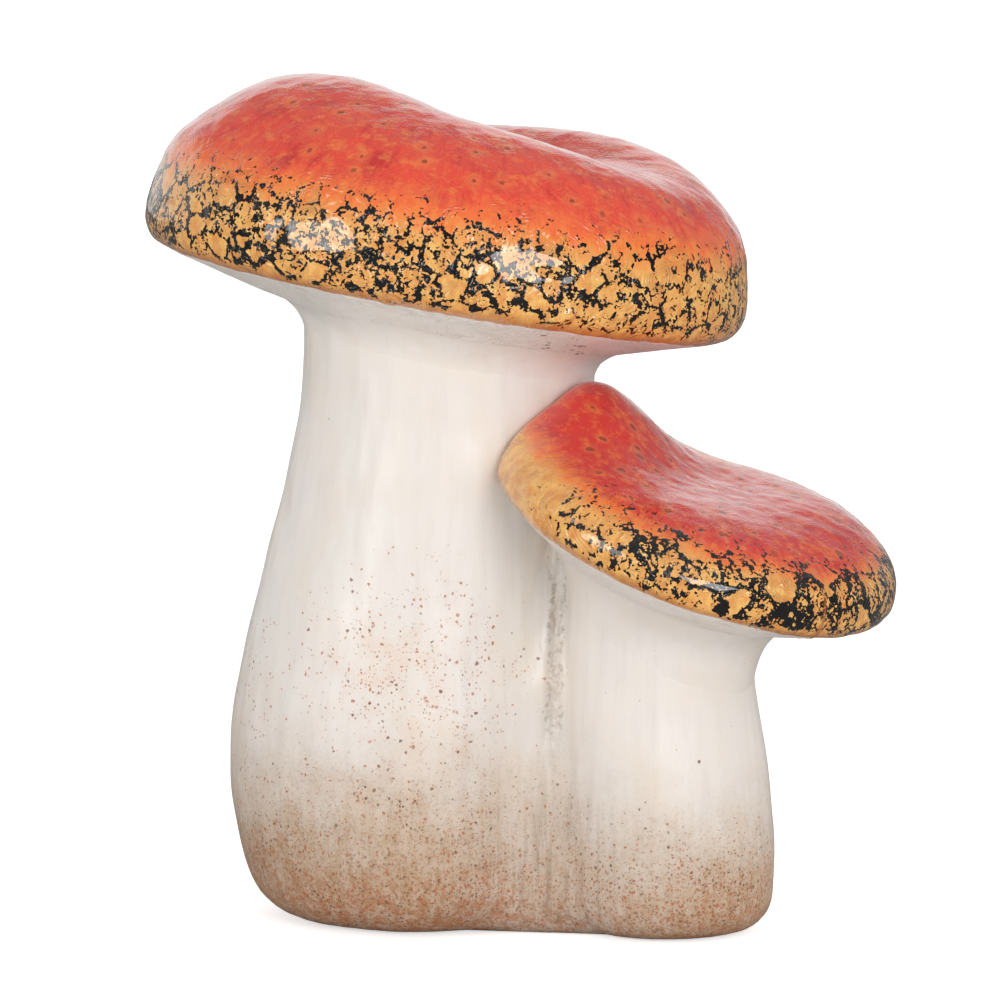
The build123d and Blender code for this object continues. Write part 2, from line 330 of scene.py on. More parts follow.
def build_cap(size, shape, material):
    points, matrix = cap_skin(size)
    points = smooth_top(soften(points, CAP_ROUNDS), matrix)
    rows, columns = points.shape[:2]
    normals = -grid_normals(points)
    # Next to the middle the columns are too narrow for normals of their own
    normals[:4] = normals[4].mean(0) / np.linalg.norm(normals[4].mean(0))
    inverse = matrix.inverted()
    axis = np.array(matrix.to_3x3() @ UP)
    climb, band, sponge = np.zeros((3, rows, columns))
    for row in range(rows):
        for column in range(columns):
            at = row, column
            here = Vector(points[at])
            local = inverse @ here
            climb[at] = local.z - RIM_BOTTOM[size]
            if row < CAP_DOME_ROWS[size]:
                inside = rim_reach(size, local.x, local.y) - math.hypot(local.x, local.y)
                climb[at] += CLIMB_INWARDS * max(inside, 0)
            band[at] = climb[at] + band_shift(size, local)
            sponge[at] = band_density(size, local)
            hang = max(local.x / REACH[size][1] - DROOP_START, 0) / (1 - DROOP_START)
            points[at] -= axis * DROOP[size] * hang**2
            swell = shape.cap_swell * (wavy(here, 17, 3) + 0.25 * wavy(here, 8, 9))
            dimple = shape.cap_dimple * (wavy(here, 3.2, 5) + wavy(here, 5.1, 1))
            if row >= rows - CAP_UNDER_ROWS[size]:
                dimple *= 0.3
            points[at] += normals[at] * (swell + dimple + rim_flaw(size, local))
    vertices = points.reshape(-1, 3).tolist()
    faces = grid_faces(rows, columns)
    top = len(vertices)
    vertices += [tuple(points[0].mean(0)), tuple(NECK[size])]
    last = (rows - 1) * columns
    for column, beside in ring_pairs(columns):
        faces.append((top, column, beside))
        faces.append((top + 1, last + beside, last + column))
    ends = climb[0].mean(), -RIM_BOTTOM[size]
    fields = {
        "climb": np.append(climb, ends), "band": np.append(band, ends),
        "sponge": np.append(sponge, (0, 0)),
    }
    return piece(f"{size}_cap", vertices, faces, material, fields)


def rim_flaw(size, local):
    """A flake on the front of the tall cap's rim, and the mould line at the front right of the short cap."""
    if size == "large":
        away = local - FLAKE
        return 0.9 * bell((away.x + 0.7 * away.z) / 3.6) * bell((away.z - 0.7 * away.x) / 1.3)
    across = local.x * math.sin(MOULD_LINE) - local.y * math.cos(MOULD_LINE)
    low = clamp((27 - local.z) / 4) if local.x > 0 else 0
    return 0.35 * low * bell(across / 0.6)


def rim_reach(size, x, y):
    """Distance from a cap's axis to its rim towards a point: a quarter of an ellipse on each side."""
    left, right, front, back = REACH[size]
    across = right if x > 0 else left
    deep = back if y > 0 else front
    out = max(math.hypot(x, y), 0.01)
    return out / math.hypot(x / across, y / deep)


def band_density(size, local):
    """How thick the black is sponged on, round the rim: the short cap's raised lobe is left almost clear."""
    if size == "large":
        return 1.05 - 0.17 * clamp((local.x + 5) / 50)
    angle = math.degrees(math.atan2(local.y, local.x))
    if angle < 0:
        return float(np.interp(angle, (-146, -126, -104, -75, -20), (0.0, 0.76, 1.05, 1.21, 1.18)))
    return float(np.interp(angle, (0, 100, 130), (1.18, 1.0, 0.0)))


def band_shift(size, local):
    """Lowers the sponged band where the short cap was out of easy reach, at the back."""
    return 0.0 if size == "large" else 9.0 * clamp((local.y - 2) / 20)


# Stems


STEM_COLUMNS = pair(260, 190)
STEM_ROWS = pair(150, 84)
STEM_FOOT_ROWS = 14
# Rounds in which a stem's facets are evened out
STEM_ROUNDS = 8
# Share of the height from which the rows lean towards the neck
LEAN_START = 0.35
# Height from which the rounded foot's rays fan out
STEM_TURN = pair(16.0, 11.0)


def stem_skin(size):
    """Outside of a stem as a grid, from the ring that it stands on up to the neck."""
    tree = solid_tree(f"{size}_stem")
    around = directions(STEM_COLUMNS[size])
    low = FOOT[size] + UP * STEM_TURN[size]
    rows = []
    steepest = math.atan2(STEM_TURN[size], RING_RADIUS[size] + 0.3)
    for step in range(STEM_FOOT_ROWS):
        below = steepest * (1 - step / STEM_FOOT_ROWS)
        rows.append([cast(tree, low, e * math.cos(below) - UP * math.sin(below)) for e in around])
    turn = neck_matrix(size).to_3x3()
    lean = turn.to_quaternion()
    high = NECK[size] - turn @ UP * 0.15
    for step in range(STEM_ROWS[size]):
        share = step / (STEM_ROWS[size] - 1)
        ease = clamp((share - LEAN_START) / (1 - LEAN_START))
        tilt = Quaternion().slerp(lean, ease * ease * (3 - 2 * ease))
        middle = low.lerp(high, share)
        rows.append([cast(tree, middle, tilt @ e) for e in around])
    return np.array(rows)


def build_stem(size, shape, material, other):
    """One stem. The other stem's tree gives the distance to the crease between them."""
    points = soften(stem_skin(size), STEM_ROUNDS)
    rows, columns = points.shape[:2]
    normals = grid_normals(points)
    crease = np.zeros((rows, columns))
    for row in range(rows):
        hold = min(1.0, row / 6, (rows - 1 - row) / 4)
        for column in range(columns):
            here = Vector(points[row, column])
            crease[row, column] = other.find_nearest(here)[3]
            stretched = Vector((here.x, here.y, here.z * 0.14))
            swell = shape.stem_swell * (wavy(here, 24, 2) + 0.5 * wavy(here, 11, 6))
            stroke = shape.stem_stroke * (wavy(stretched, 2.6, 4) + 0.7 * wavy(stretched, 5.5, 8))
            points[row, column] += normals[row, column] * (swell + stroke) * hold
    vertices = points.reshape(-1, 3).tolist()
    faces = [tuple(reversed(face)) for face in grid_faces(rows, columns)]
    foot = FOOT[size]
    last = 0
    for radius, height in (
        (RING_RADIUS[size] - 0.6, 0.0),
        (HOLLOW_RADIUS[size] + 0.5, 0.0),
        (HOLLOW_RADIUS[size], 0.3),
        (HOLLOW_RADIUS[size] - 0.4, HOLLOW_DEPTH),
        (VENT_RADIUS[size] + 0.5, HOLLOW_DEPTH),
        (VENT_RADIUS[size], HOLLOW_DEPTH + 0.5),
        (VENT_RADIUS[size], HOLLOW_DEPTH + VENT_DEPTH),
    ):
        ring = len(vertices)
        vertices += [tuple(foot + e * radius + UP * height) for e in directions(columns)]
        faces += [(last + c, ring + c, ring + b, last + b) for c, b in ring_pairs(columns)]
        last = ring
    plug = len(vertices)
    vertices += [tuple(foot + UP * (HOLLOW_DEPTH + VENT_DEPTH)), tuple(NECK[size])]
    top = (rows - 1) * columns
    for column, beside in ring_pairs(columns):
        faces.append((last + column, plug, last + beside))
        faces.append((top + column, top + beside, plug + 1))
    field = np.full(len(vertices), NO_CREASE)
    field[: rows * columns] = crease.reshape(-1)
    return piece(f"{size}_stem", vertices, faces, material, {"crease": field})


# Joining slip


def fillet(first, first_corner, second_corner, second, deep, across, relief):
    """Strip of slip in a corner: a curve that leaves each wall towards a corner point, and a hidden back."""
    rows = []
    for a, p, q, b, d in zip(first, first_corner, second_corner, second, deep):
        line = []
        for step in range(across + 1):
            t = 0.5 - 0.5 * math.cos(math.pi * step / across)
            place = a * (1 - t) ** 3 + (a + 2 * p) * t * (1 - t) ** 2
            place += (b + 2 * q) * t * t * (1 - t) + b * t**3
            line.append(place + (place - d).normalized() * relief(place, t) * min(1.0, 8 * t * (1 - t)))
        line.append(d)
        rows.append(line)
    return np.array([[tuple(p) for p in line] for line in rows])


def mesh_strip(points, closed):
    """Vertices and faces of a strip whose cross-sections are closed loops."""
    count, loop = points.shape[:2]
    faces = []
    for row in range(count if closed else count - 1):
        here = row * loop
        below = (row + 1) % count * loop
        faces += [(here + c, here + b, below + b, below + c) for c, b in ring_pairs(loop)]
    if not closed:
        faces.append(tuple(reversed(range(loop))))
        faces.append(tuple((count - 1) * loop + step for step in range(loop)))
    return points.reshape(-1, 3).tolist(), faces


LUTE_COLUMNS = pair(220, 160)
LUTE_ACROSS = 24
LUTE_DOWN = pair(6.5, 13.0)
LUTE_OUT = pair(7.5, 8.5)
# Steepest slope of a wall that the slip follows
LUTE_SLOPE = 0.6


def build_lute(size, stem_tree, cap_tree, material):
    """Ring of slip under a cap. Its curve leaves the stem and the underside along their own slopes."""
    matrix = neck_matrix(size)
    inverse = matrix.inverted()
    turn = matrix.to_3x3()
    lines = ([], [], [], [], [])
    for e in directions(LUTE_COLUMNS[size]):
        vary = 1 + 0.12 * wavy(e * 20, 9, 7)
        down = LUTE_DOWN[size] * vary
        out = NECK_RADIUS[size] + LUTE_OUT[size] * vary
        wall, wall_above = (
            (inverse @ cast(stem_tree, matrix @ (UP * -w), turn @ e)).dot(e) for w in (down, down - 2)
        )
        under, under_inside = (
            (inverse @ cast(cap_tree, matrix @ (e * r + UP * WIDEST[size]), turn @ -UP)).z
            for r in (out, out - 2)
        )
        lean = clamp((wall_above - wall) / 2, -LUTE_SLOPE, LUTE_SLOPE)
        slope = clamp((under - under_inside) / 2, -LUTE_SLOPE, LUTE_SLOPE)
        r = (wall + lean * (under - slope * out + down)) / (1 - lean * slope)
        r = clamp(r, wall - 3, out)
        height = clamp(under + slope * (r - out), -down, under + 3)
        inwards = max(out - r, 4.0)
        section_points = (
            e * (wall - 0.2) - UP * down,
            e * r + UP * height,
            e * (out - inwards) + UP * (under - slope * inwards),
            e * out + UP * (under + 0.1),
            e * (NECK_RADIUS[size] - 1.5) + UP * 0.6,
        )
        for line, point in zip(lines, section_points):
            line.append(matrix @ point)
    points = fillet(*lines, LUTE_ACROSS, lambda place, t: 0.12 * wavy(place, 3.0, 11))
    vertices, faces = mesh_strip(points, True)
    fields = {"crease": np.full(len(vertices), NO_CREASE)}
    return piece(f"{size}_neck_lute", vertices, faces, material, fields)


SEAM_ACROSS = 50
# Place of the worked line, as a share of the way from the tall to the short stem
SEAM_MIDDLE = 0.66
SEAM_HEIGHTS = np.linspace(0.2, 94.0, 196)
# Between these heights the walls of the stems are followed
SEAM_LOW = 15.0
SEAM_HIGH = 70.0
# Height and reach of the slip along the tall and the short stem
SEAM_SPREAD = (
    (0.0, 21.0, 15.0), (35.0, 19.0, 13.0), (62.0, 16.0, 10.0),
    (78.0, 13.0, 8.0), (88.0, 7.0, 5.0), (94.0, 4.0, 4.0),
)
# Radii that turn those reaches into angles
SEAM_RADIUS = pair(37, 25)
# How deep the slip's edges go into the walls
SEAM_SINK = 0.1
# Turn to each side that gives a wall's direction, in radians
WALL_TURN = 0.09


def stem_middle(size, height):
    middle = FOOT[size].lerp(NECK[size], height / NECK[size].z)
    middle.z = height
    return middle


def crease_angles(side):
    """Angles on the two stems of the crease between them at each row, found by a walk round the tall stem."""
    trees = {size: solid_tree(f"{size}_stem") for size in SIZES}
    found = []

    def radius(size, middle, angle):
        return (cast(trees[size], middle, compass(angle)) - middle).length

    for height in SEAM_HEIGHTS:
        large, small = (stem_middle(size, clamp(height, SEAM_LOW, SEAM_HIGH)) for size in SIZES)
        between = small - large
        angle = math.atan2(between.y, between.x) + side * 1.3
        for _ in range(150):
            back = large + compass(angle) * radius("large", large, angle) - small
            back_angle = math.atan2(back.y, back.x)
            gap = back.length - radius("small", small, back_angle)
            if gap < 0.3:
                break
            angle -= side * max(gap, 0.4) * 0.01
        found.append((angle, back_angle))
    found = np.unwrap(np.array(found), axis=0)
    for _ in range(30):
        found[1:-1] += 0.5 * ((found[:-2] + found[2:]) / 2 - found[1:-1])
    return found


def tangent_corners(a, a_out, b, b_out):
    """Corner points on the tangents of two round walls, near where the tangents meet, in plan."""
    gap = b - a
    a_along = Vector((-a_out.y, a_out.x, 0))
    b_along = Vector((-b_out.y, b_out.x, 0))
    a_along *= math.copysign(1, a_along.dot(gap))
    b_along *= math.copysign(1, -b_along.dot(gap))
    turn = a_along.x * b_along.y - a_along.y * b_along.x
    a_reach = b_reach = gap.length / 2
    if abs(turn) > 0.05:
        a_reach = (gap.x * b_along.y - gap.y * b_along.x) / turn
        b_reach = (gap.x * a_along.y - gap.y * a_along.x) / turn
    limits = 0.25 * gap.length, 0.65 * gap.length
    return a + a_along * clamp(a_reach, *limits), b + b_along * clamp(b_reach, *limits)


def wall_point(trees, size, height, angle):
    """Point on a stem or the slip under its cap, and the wall's outward direction there."""
    points = []
    middle = stem_middle(size, height)
    for turned in (angle, angle - WALL_TURN, angle + WALL_TURN):
        out = compass(turned)
        reach = max((cast(tree, middle, out) - middle).length for tree in trees)
        if reach < 1:
            low = stem_middle(size, SEAM_HIGH)
            reach = (cast(trees[0], low, out) - low).length
        points.append(middle + out * (reach - SEAM_SINK))
    along = points[2] - points[1]
    return points[0], Vector((along.y, -along.x, 0)).normalized()


def even_line(points):
    """Takes single jumps out of a line above the rounded feet, and evens it out."""
    line = np.array([tuple(point) for point in points])
    rough = line.copy()
    first = int(np.searchsorted(SEAM_HEIGHTS, SEAM_LOW))
    for row in range(first + 4, len(line) - 4):
        line[row, :2] = np.median(rough[row - 4 : row + 5, :2], axis=0)
    plan = line[first:, :2]
    for _ in range(8):
        plan[1:-1] += 0.5 * ((plan[:-2] + plan[2:]) / 2 - plan[1:-1])
    return [Vector(point) for point in line]


def seam_lines(large_trees, small_trees, side):
    """Edges, corners and hidden back of one fill. Below the rounded feet's edges it runs straight down."""
    lines = ([], [], [], [], [])
    steps, large_spread, small_spread = zip(*SEAM_SPREAD)
    between = FOOT["small"] - FOOT["large"]
    outward = Vector((between.y, -between.x, 0)).normalized() * -side
    for height, (a_angle, b_angle) in zip(SEAM_HEIGHTS, crease_angles(side)):
        followed = max(height, SEAM_LOW)
        deep = wall_point(large_trees, "large", followed, a_angle)[0]
        ragged = 1 + 0.1 * wavy(Vector((0, side * 5.0, height)), 14, 3)
        a_angle += side * np.interp(height, steps, large_spread) / SEAM_RADIUS["large"] * ragged
        b_angle -= side * np.interp(height, steps, small_spread) / SEAM_RADIUS["small"] * ragged
        a, a_out = wall_point(large_trees, "large", followed, a_angle)
        b, b_out = wall_point(small_trees, "small", followed, b_angle)
        a_corner, b_corner = tangent_corners(a, a_out, b, b_out)
        if height < SEAM_LOW:
            a = wall_point(large_trees, "large", height, a_angle)[0]
            b = wall_point(small_trees, "small", height, b_angle)[0]
            a_corner -= outward * (SEAM_LOW - height) * 0.15
            b_corner -= outward * (SEAM_LOW - height) * 0.15
        deep -= outward * (1.5 + max(SEAM_LOW - height, 0))
        a_corner.z = b_corner.z = deep.z = height
        for line, point in zip(lines, (a, a_corner, b_corner, b, deep)):
            line.append(point)
    return [even_line(line) for line in lines]


def seam_relief(place, t):
    """Lumps of slip along the worked line of the upper half, and upright strokes of the tool below them."""
    lumps = wavy(place, 2.2, 22) + 0.7 * wavy(place, 1.1, 27) + 0.35
    upper = clamp((place.z - 40) / 10) * clamp((84 - place.z) / 12)
    ridge = bell((t - SEAM_MIDDLE) / 0.065)
    groove = bell((t - SEAM_MIDDLE + 0.08) / 0.045)
    strokes = wavy(Vector((place.x, place.y, place.z * 0.05)), 1.6, 31)
    strokes += 0.6 * wavy(Vector((place.x, place.y, place.z * 0.10)), 0.9, 35)
    middle = bell((t - 0.5) / 0.28)
    return (1.7 * lumps * ridge - 1.2 * groove) * upper + 0.42 * strokes * middle * (1 - 0.6 * upper)


def build_seam(large_trees, small_trees, shape, material):
    """Slip worked into the creases between the stems, front and back."""
    vertices = []
    faces = []
    field = []
    across = 0.5 - 0.5 * np.cos(np.pi * np.arange(SEAM_ACROSS + 1) / SEAM_ACROSS)
    share = np.append(np.abs(across - SEAM_MIDDLE), 0.0)
    for side in (-1, 1):
        lines = seam_lines(large_trees, small_trees, side)
        points = fillet(*lines, SEAM_ACROSS, lambda place, t: shape.seam_lump * seam_relief(place, t))
        bead_vertices, bead_faces = mesh_strip(points, False)
        if side > 0:
            bead_faces = [tuple(reversed(face)) for face in bead_faces]
        shift = len(vertices)
        vertices += bead_vertices
        faces += [tuple(index + shift for index in face) for face in bead_faces]
        width = np.linalg.norm(points[:, 0] - points[:, SEAM_ACROSS], axis=1)
        field += np.outer(width, share).reshape(-1).tolist()
    return piece("stem_seam", vertices, faces, material, {"crease": field})


# Shader helpers


class Nodes:
    """Short calls for the nodes of one material or group. Places are in millimetres."""

    def __init__(self, tree):
        self.tree = tree

    def new(self, kind, **settings):
        node = self.tree.nodes.new(kind)
        for key, value in settings.items():
            setattr(node, key, value)
        return node

    def feed(self, socket, value):
        """Links an output to an input, or sets the input's value."""
        if isinstance(value, bpy.types.NodeSocket):
            self.tree.links.new(value, socket)
        elif socket.type == "RGBA":
            socket.default_value = (*value[:3], 1)
        else:
            socket.default_value = value

    def fill(self, node, **values):
        for name, value in values.items():
            self.feed(node.inputs[name.replace("_", " ")], value)
        return node.outputs

    def math(self, operation, *values):
        node = self.new("ShaderNodeMath", operation=operation)
        for socket, value in zip(node.inputs, values):
            self.feed(socket, value)
        return node.outputs[0]

    def plus(self, total, *values):
        for value in values:
            total = self.math("ADD", total, value)
        return total

    def times(self, total, *values):
        for value in values:
            total = self.math("MULTIPLY", total, value)
        return total

    def minus(self, a, b):
        return self.math("SUBTRACT", a, b)

    def swing(self, value, reach):
        """A value between 0 and 1 as a swing to both sides of nought."""
        return self.times(self.minus(value, 0.5), reach)

    def vector(self, operation, a, b):
        node = self.new("ShaderNodeVectorMath", operation=operation)
        self.feed(node.inputs[0], a)
        self.feed(node.inputs["Scale" if operation == "SCALE" else 1], b)
        return node.outputs["Value" if operation == "DISTANCE" else "Vector"]

    def shift(self, place, by):
        return self.vector("ADD", place, by)

    def scale(self, vector, by):
        return self.vector("SCALE", vector, by)

    def ramp(self, value, low, high, start=0, end=1, smooth=True):
        node = self.new("ShaderNodeMapRange", clamp=True)
        node.interpolation_type = "SMOOTHSTEP" if smooth else "LINEAR"
        return self.fill(
            node, Value=value, From_Min=low, From_Max=high, To_Min=start, To_Max=end
        )["Result"]

    def mix(self, share, a, b, blend="MIX"):
        node = self.new("ShaderNodeMix", data_type="RGBA", blend_type=blend)
        return self.fill(node, Factor=share, A=a, B=b)["Result"]

    def noise_node(self, place, size, detail, rough, distort=0):
        node = self.new("ShaderNodeTexNoise")
        return self.fill(
            node, Vector=place, Scale=1 / size, Detail=detail, Roughness=rough, Distortion=distort
        )

    def noise(self, place, size, detail=3, rough=0.55, distort=0):
        """Noise with features of the given size."""
        return self.noise_node(place, size, detail, rough, distort)["Fac"]

    def wander(self, place, size, detail=2, rough=0.55):
        """A direction that changes with the place, to make edges ragged."""
        return self.shift(self.noise_node(place, size, detail, rough)["Color"], (-0.5, -0.5, -0.5))

    def cells(self, place, size, feature="F1", dimensions="3D"):
        node = self.new("ShaderNodeTexVoronoi", feature=feature, voronoi_dimensions=dimensions)
        return self.fill(node, Vector=place, Scale=self.math("DIVIDE", 1, size))

    def split(self, vector):
        node = self.new("ShaderNodeSeparateXYZ")
        self.feed(node.inputs[0], vector)
        return node.outputs

    def join(self, x, y, z):
        return self.fill(self.new("ShaderNodeCombineXYZ"), X=x, Y=y, Z=z)["Vector"]

    def field(self, name):
        return self.new("ShaderNodeAttribute", attribute_name=name).outputs["Fac"]

    def group(self, name, **values):
        return self.fill(self.new("ShaderNodeGroup", node_tree=bpy.data.node_groups[name]), **values)


def new_group(name, values, colours, outputs):
    """An empty shader group. A place, values with their defaults, and colours go in."""
    tree = bpy.data.node_groups.new(name, "ShaderNodeTree")

    def socket(label, way, kind):
        return tree.interface.new_socket(label, in_out=way, socket_type=f"NodeSocket{kind}")

    socket("Place", "INPUT", "Vector")
    for label, default in values.items():
        socket(label, "INPUT", "Float").default_value = default
    for label in colours:
        socket(label, "INPUT", "Color")
    for label in outputs:
        socket(label, "OUTPUT", "Color" if label == "Colour" else "Float")
    n = Nodes(tree)
    return n, n.new("NodeGroupInput").outputs, n.new("NodeGroupOutput").inputs


def sponge_group():
    """Black sponge print: ragged strokes between patches of two sizes, some left clear, and small dots."""
    n, entry, leave = new_group("Sponge Print", {"Density": 1, "Patch": 6}, (), ("Print", "Height"))
    place = entry["Place"]
    warp = n.wander(place, 1.7, rough=0.5)
    ink = n.minus(entry["Density"], 1.42)
    for size, ragged, width, weight in ((2.8, 1.3, 0.75, 0.34), (entry["Patch"], 2.1, 1.6, 0.50)):
        moved = n.shift(place, n.scale(warp, ragged))
        cell = n.cells(moved, size)
        next_cell = n.cells(moved, size, feature="F2")
        away = n.times(n.minus(next_cell["Distance"], cell["Distance"]), size)
        ink = n.plus(ink, n.ramp(away, 0, width, weight, 0))
    # About one large patch in four is left clear
    clear = n.ramp(n.split(cell["Color"])[0], 0.73, 0.76)
    ink = n.plus(ink, n.times(clear, n.ramp(away, 0.4, 1.7, 0.12, -0.8)))
    blotch = n.noise(n.shift(place, (3, 47, 11)), 2, detail=2, distort=0.9)
    dots = n.noise(n.shift(place, (57, 7, 29)), 0.7, detail=1.5)
    drift = n.noise(n.shift(place, (31, 17, 53)), 11, detail=2)
    ink = n.plus(ink, n.swing(blotch, 2.6), n.swing(dots, 2), n.swing(drift, 0.55))
    n.feed(leave["Print"], n.ramp(ink, -0.04, 0.04))
    n.feed(leave["Height"], n.ramp(ink, -0.25, 0.25))


def crown_group():
    """Painted crown: red with orange mottling, brush streaks down the slope, and pits with pale halos."""
    n, entry, leave = new_group(
        "Painted Crown", {"Redness": 1, "Pit Level": 0, "Pit Size": 1},
        ("Red", "Deep Red", "Flame", "Orange", "Yellow"), ("Colour", "Height"),
    )
    place = entry["Place"]
    x, y, z = n.split(place)
    flat = n.join(x, y, 0)
    out = n.math("MAXIMUM", n.vector("DISTANCE", flat, (0, 0, 0)), 1)
    # Streaks run down the slope, so their width is measured round a ring
    ring_x, ring_y, _ = n.split(n.scale(flat, n.math("DIVIDE", 46, out)))
    run = n.plus(n.times(out, 0.14), n.times(z, 0.10))
    streaks = n.noise(n.join(ring_x, ring_y, run), 1.5, detail=4, rough=0.65)
    streaks = n.plus(0.5, n.swing(streaks, n.ramp(out, 6, 20)))
    broad = n.noise(place, 9, detail=4, rough=0.6)
    mottle = n.noise(n.shift(place, (7, 91, 3)), 3, detail=4, rough=0.65)
    # Distance over the crown from its middle, so that pits stay round on the slopes
    slope = n.math("ARCTAN2", out, n.math("MAXIMUM", n.plus(z, 4), 0.1))
    unroll = n.scale(flat, n.math("DIVIDE", n.times(slope, 42), out))
    pit_cell = n.cells(n.shift(unroll, n.scale(n.wander(place, 2), 0.7)), 6.2, dimensions="2D")
    pit_away = n.times(pit_cell["Distance"], 6.2)
    pit_pick, pit_size, _ = n.split(pit_cell["Color"])
    chosen = n.times(n.ramp(pit_pick, 0.34, 0.38), entry["Pit Level"])
    pit_radius = n.times(n.ramp(pit_size, 0, 1, 0.2, 0.5, smooth=False), entry["Pit Size"])
    pit = n.times(n.ramp(n.minus(pit_away, pit_radius), -0.12, 0.3, 1, 0), chosen)
    halo = n.times(n.ramp(pit_away, 0.4, 2.4, 1, 0), chosen)
    # From the rim's orange through flame to red, with dark streaks and speckle
    share = n.plus(entry["Redness"], n.swing(streaks, 0.6), n.swing(mottle, 0.9), n.swing(broad, 0.7))
    pale = n.ramp(n.plus(mottle, n.times(streaks, 0.6)), 0.6, 1.05)
    colour = n.mix(pale, entry["Orange"], entry["Yellow"])
    colour = n.mix(n.ramp(share, 0.15, 0.62), colour, entry["Flame"])
    colour = n.mix(n.ramp(share, 0.48, 1.05), colour, entry["Red"])
    dark = n.ramp(n.plus(broad, n.times(streaks, 0.5)), 0.72, 1)
    colour = n.mix(n.times(dark, n.ramp(share, 0.7, 1.1)), colour, entry["Deep Red"])
    speckle = n.times(n.ramp(mottle, 0.47, 0.70), n.ramp(share, 0.5, 1, 0, 0.75))
    colour = n.mix(speckle, colour, entry["Flame"])
    colour = n.mix(n.times(halo, 0.45), colour, entry["Flame"])
    colour = n.mix(n.times(pit, 0.75), colour, (0.12, 0.026, 0.012))
    # Ripples round the pits
    drift = n.noise(n.shift(place, (13, 5, 67)), 4.5, detail=1)
    ripple = n.math("SINE", n.times(n.plus(pit_away, n.swing(drift, 4.5)), 2 * math.pi / 0.85))
    fade = n.times(n.ramp(pit_away, 0.8, 4.4, 1, 0), n.ramp(pit_pick, 0.15, 0.3))
    # Curved lines of the moulded skin, like the contours of a map
    swirl = n.noise(n.shift(place, (83, 29, 17)), 8, detail=1)
    patchy = n.ramp(n.noise(n.shift(place, (3, 71, 37)), 10, detail=2), 0.36, 0.54)
    curved = n.times(n.math("SINE", n.times(swirl, 2 * math.pi * 15)), patchy)
    lines = n.times(n.ramp(curved, 0.1, 1, 0, 0.34), entry["Pit Level"])
    n.feed(leave["Colour"], n.mix(lines, colour, entry["Deep Red"]))
    ripple = n.plus(
        n.times(ripple, fade), n.times(curved, n.ramp(entry["Pit Level"], 0, 1, 2.4, 0.5))
    )
    height = n.plus(n.times(ripple, 0.7), n.swing(streaks, 1.2))
    n.feed(leave["Height"], n.minus(height, n.times(pit, 1.6)))


def white_group():
    """White glaze: faint upright brush strokes, cloudy warmth and a few kiln specks."""
    n, entry, leave = new_group("White Glaze", {}, ("White",), ("Colour", "Height"))
    place, white = entry["Place"], entry["White"]
    x, y, z = n.split(place)
    tall = n.join(x, y, n.times(z, 0.10))
    strokes = n.noise(tall, 2.2, detail=4, rough=0.62)
    fine = n.noise(tall, 0.7, rough=0.6)
    cloud = n.noise(place, 18)
    grey = n.mix(1, white, (0.80, 0.78, 0.76), blend="MULTIPLY")
    colour = n.mix(n.ramp(strokes, 0.45, 0.80, 0, 0.30), white, grey)
    warm = n.mix(1, white, (1, 0.95, 0.88), blend="MULTIPLY")
    colour = n.mix(n.ramp(cloud, 0.40, 0.75, 0, 0.8), colour, warm)
    # Kiln specks: a few all over, and two clusters in front under the tall cap
    level = n.join(x, 0, n.plus(z, n.times(y, 0.1)))
    clusters = (n.vector("DISTANCE", level, middle) for middle in ((12.6, 0, 132.6), (5.4, 0, 133.2)))
    cluster = n.ramp(n.math("MINIMUM", *clusters), 1, 3.4, 0.75, 0)
    cluster = n.times(cluster, n.math("LESS_THAN", y, 0))
    bent = n.shift(place, n.scale(n.wander(place, 0.9, detail=1), 1.6))
    cell = n.cells(n.shift(bent, (23.8, 61.8, 37.8)), 1.4)
    pick, size, _ = n.split(cell["Color"])
    radius = n.times(size, n.plus(0.22, n.times(cluster, 0.4)))
    speck = n.ramp(n.minus(cell["Distance"], radius), 0, 0.1, 1, 0)
    speck = n.times(speck, n.math("LESS_THAN", pick, n.plus(cluster, 0.004)))
    n.feed(leave["Colour"], n.mix(n.times(speck, 0.85), colour, (0.06, 0.045, 0.03)))
    n.feed(leave["Height"], n.plus(n.times(strokes, 0.8), n.times(fine, 0.25)))


def spatter_group():
    """Spatter from a stiff brush: small drops of mixed size, where the amount is over nought."""
    n, entry, leave = new_group("Spatter", {"Amount": 0.5, "Drop": 1.2}, (), ("Drops",))
    place = n.shift(entry["Place"], n.scale(n.wander(entry["Place"], 0.8), 0.8))
    cell = n.cells(place, entry["Drop"])
    pick, size, _ = n.split(cell["Color"])
    radius = n.ramp(n.math("POWER", size, 2), 0, 1, 0.13, 0.46, smooth=False)
    drop = n.ramp(n.minus(cell["Distance"], radius), -0.08, 0.08, 1, 0)
    n.feed(leave["Drops"], n.times(drop, n.math("LESS_THAN", pick, entry["Amount"])))


